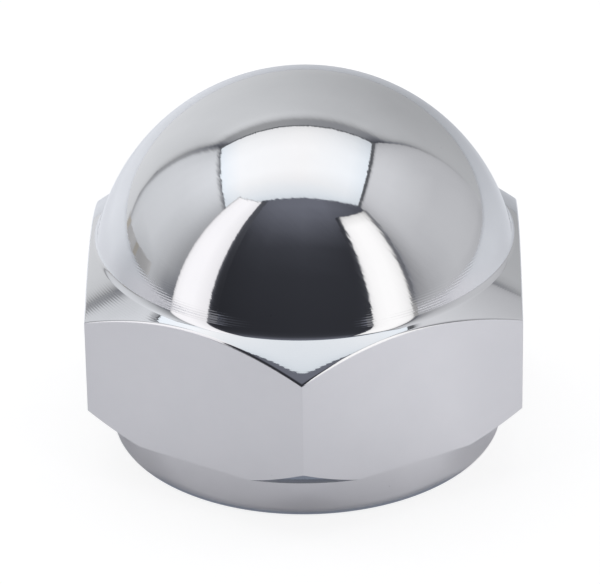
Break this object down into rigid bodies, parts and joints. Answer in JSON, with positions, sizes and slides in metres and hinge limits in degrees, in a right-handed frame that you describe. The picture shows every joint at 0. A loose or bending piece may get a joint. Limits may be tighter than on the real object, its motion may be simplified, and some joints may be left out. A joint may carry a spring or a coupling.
{
  "type": "cap nut",
  "caption": "Low domed cap nut: hexagon body with a sloping shoulder and a ball-shaped dome above, a round seating collar below, and a blind threaded hole.",
  "frame": {"origin": "centre of the collar's seat face, at the mouth of the threaded hole", "axes": "+Z along the nut's axis to the top of the dome; two corners of the hexagon lie on the Y axis"},
  "size_m": [0.024, 0.0278, 0.0208],
  "materials": {
    "chrome": "polished"
  },
  "bodies": {
    "root": {"cap_nut": "chrome"}
  },
  "joints": []
}
